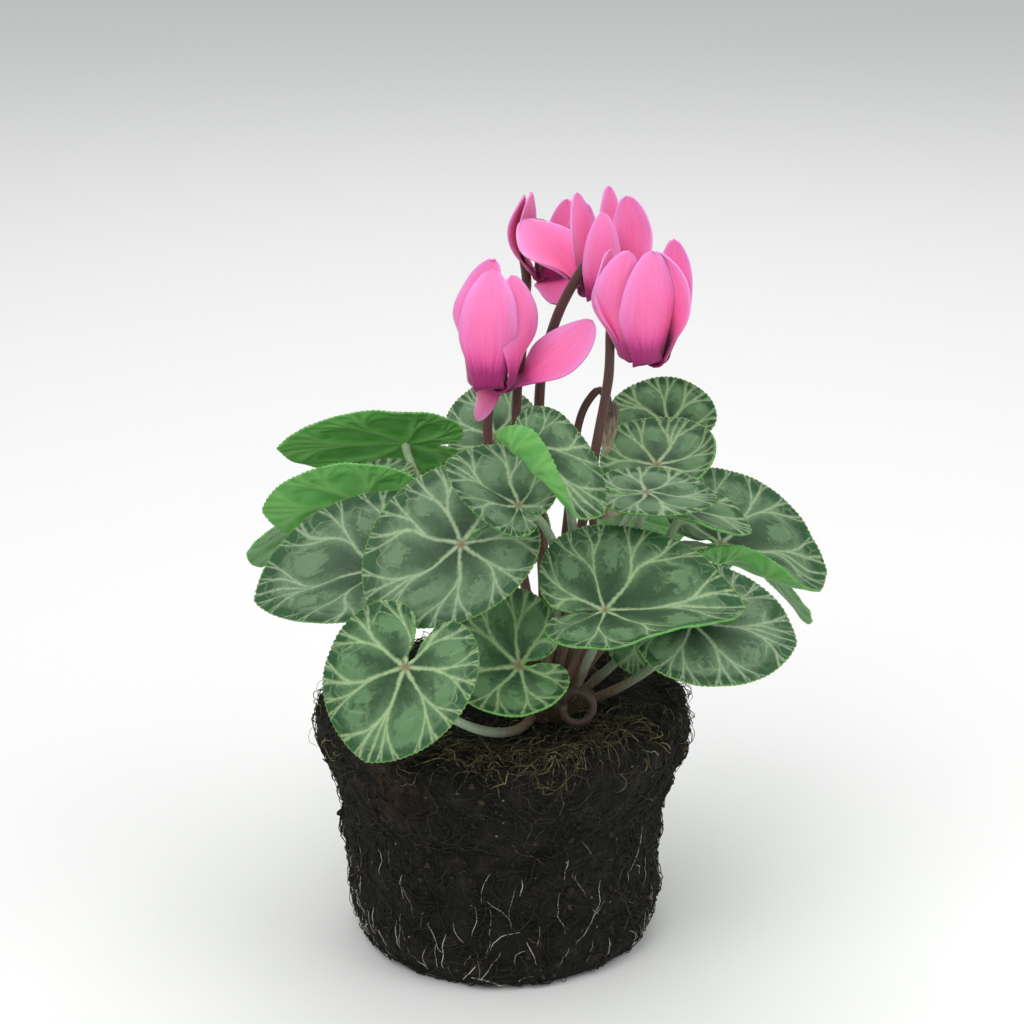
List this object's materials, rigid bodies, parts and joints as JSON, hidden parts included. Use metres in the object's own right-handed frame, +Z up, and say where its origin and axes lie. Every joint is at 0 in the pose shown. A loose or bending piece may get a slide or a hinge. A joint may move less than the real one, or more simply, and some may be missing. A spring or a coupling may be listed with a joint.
{
  "type": "cyclamen plant with root ball",
  "caption": "Flowering cyclamen lifted out of its pot: heart-shaped marbled leaves, pink swept-back blooms and buds over a round peat root ball.",
  "frame": {"origin": "middle of the root ball's flat underside, on the surface that it stands on", "axes": "+Z up; -Y is the front, towards the viewer of the picture; +X is the viewer's right"},
  "size_m": [0.1856, 0.1707, 0.2371],
  "materials": {
    "leaf": "thin waxy blade, dark green with a silvery pattern, satin",
    "leaf_stalk": "smooth fleshy stalk, green-grey turning pinkish at its foot, satin",
    "flower_stalk": "smooth fleshy stalk, reddish brown, satin",
    "petal": "thin soft petal, clear pink with a dark magenta base, satin",
    "bud": "smooth closed bud, brown and cream, satin",
    "tuber": "rough corky skin, matt",
    "peat": "moist fibrous peat with roots and moss, matt"
  },
  "bodies": {
    "root": {"coiled_stalk": "flower_stalk", "corolla_1": "petal", "corolla_2": "petal", "corolla_3": "petal", "corolla_4": "petal", "flower_stalk_1": "flower_stalk", "flower_stalk_2": "flower_stalk", "flower_stalk_3": "flower_stalk", "flower_stalk_4": "flower_stalk", "leaf_01": "leaf", "leaf_02": "leaf", "leaf_03": "leaf", "leaf_04": "leaf", "leaf_05": "leaf", "leaf_06": "leaf", "leaf_07": "leaf", "leaf_08": "leaf", "leaf_09": "leaf", "leaf_10": "leaf", "leaf_11": "leaf", "leaf_12": "leaf", "leaf_13": "leaf", "leaf_14": "leaf", "leaf_15": "leaf", "leaf_16": "leaf", "leaf_17": "leaf", "leaf_18": "leaf", "leaf_19": "leaf", "leaf_20": "leaf", "leaf_21": "leaf", "leaf_22": "leaf", "leaf_stalk_01": "leaf_stalk", "leaf_stalk_02": "leaf_stalk", "leaf_stalk_03": "leaf_stalk", "leaf_stalk_04": "leaf_stalk", "leaf_stalk_05": "leaf_stalk", "leaf_stalk_06": "leaf_stalk", "leaf_stalk_07": "leaf_stalk", "leaf_stalk_08": "leaf_stalk", "leaf_stalk_09": "leaf_stalk", "leaf_stalk_10": "leaf_stalk", "leaf_stalk_11": "leaf_stalk", "leaf_stalk_12": "leaf_stalk", "leaf_stalk_13": "leaf_stalk", "leaf_stalk_14": "leaf_stalk", "leaf_stalk_15": "leaf_stalk", "leaf_stalk_16": "leaf_stalk", "leaf_stalk_17": "leaf_stalk", "leaf_stalk_18": "leaf_stalk", "leaf_stalk_19": "leaf_stalk", "leaf_stalk_20": "leaf_stalk", "leaf_stalk_21": "leaf_stalk", "leaf_stalk_22": "leaf_stalk", "nodding_bud": "bud", "root_ball": "peat", "tuber": "tuber", "young_bud": "bud"}
  },
  "joints": []
}
